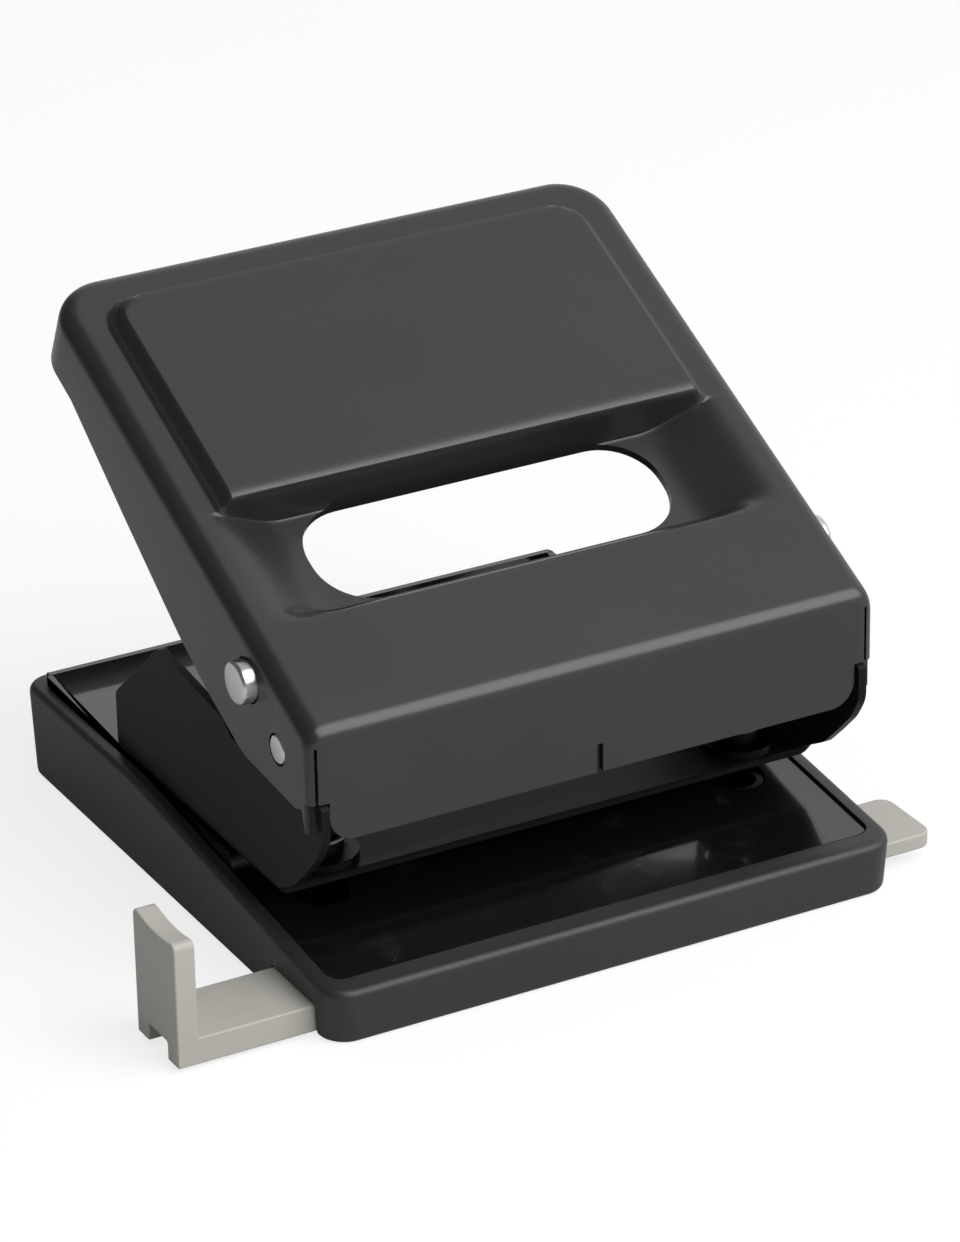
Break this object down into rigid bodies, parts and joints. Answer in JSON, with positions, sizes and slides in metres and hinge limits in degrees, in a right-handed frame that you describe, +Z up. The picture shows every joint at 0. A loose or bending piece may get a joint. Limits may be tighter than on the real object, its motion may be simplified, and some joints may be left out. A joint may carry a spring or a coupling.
{
  "type": "two hole punch",
  "caption": "Desk punch for two holes with a sloped sheet-steel lever, a steel paper table in a plastic chip tray and a sliding paper guide.",
  "frame": {"origin": "centre of the tray's underside, on the surface that the punch stands on", "axes": "+X to the user's right along the line of the two holes, +Y to the rear, +Z up"},
  "size_m": [0.143, 0.118, 0.0965],
  "materials": {
    "tray_plastic": "fine matte grain",
    "plate_enamel": "gloss black",
    "frame_enamel": "satin black",
    "lever_paint": "satin dark grey",
    "guide_plastic": "satin",
    "zinc": "bright zinc plate",
    "tool_steel": "ground",
    "spring_steel": "drawn",
    "dark_steel": "blackened"
  },
  "bodies": {
    "tray": {"base_cover": "tray_plastic"},
    "frame": {"base_plate": "plate_enamel", "punch_frame": "frame_enamel", "frame_rivet_1": "dark_steel", "frame_rivet_2": "dark_steel", "frame_rivet_3": "dark_steel", "frame_rivet_4": "dark_steel", "die_left": "tool_steel", "die_right": "tool_steel", "guide_bush_left": "tool_steel", "guide_bush_right": "tool_steel", "pivot_shaft": "zinc", "shaft_clip_left": "spring_steel", "shaft_clip_right": "spring_steel", "return_spring_left": "spring_steel", "return_spring_right": "spring_steel"},
    "lever": {"handle": "lever_paint", "drive_rod": "zinc", "rod_clip_left": "spring_steel", "rod_clip_right": "spring_steel"},
    "left_punch": {"punch_left": "tool_steel", "punch_cap_left": "tool_steel"},
    "right_punch": {"punch_right": "tool_steel", "punch_cap_right": "tool_steel"},
    "guide": {"paper_guide": "guide_plastic"}
  },
  "joints": [
    {"name": "frame_lift", "type": "hinge", "parent": "tray", "child": "frame", "pos_m": [0, 0.054, 0.0165], "axis": [-1, 0, 0], "range_deg": [0, 45]},
    {"name": "lever_press", "type": "hinge", "parent": "frame", "child": "lever", "pos_m": [0, -0.0411, 0.0464], "axis": [-1, 0, 0], "range_deg": [0, 32], "stiffness_Nm_per_rad": 0.4, "springref_deg": -42.97},
    {"name": "left_punch_slide", "type": "slide", "parent": "frame", "child": "left_punch", "axis": [0, 0, -1], "range_m": [0, 0.0066], "deforming": ["return_spring_left"]},
    {"name": "right_punch_slide", "type": "slide", "parent": "frame", "child": "right_punch", "axis": [0, 0, -1], "range_m": [0, 0.0066], "deforming": ["return_spring_right"]},
    {"name": "guide_slide", "type": "slide", "parent": "tray", "child": "guide", "axis": [1, 0, 0], "range_m": [-0.074, 0.02]}
  ],
  "couplings": [
    {"joint": "left_punch_slide", "follows": "lever_press", "m_per_rad": 0.01164},
    {"joint": "right_punch_slide", "follows": "lever_press", "m_per_rad": 0.01164}
  ]
}
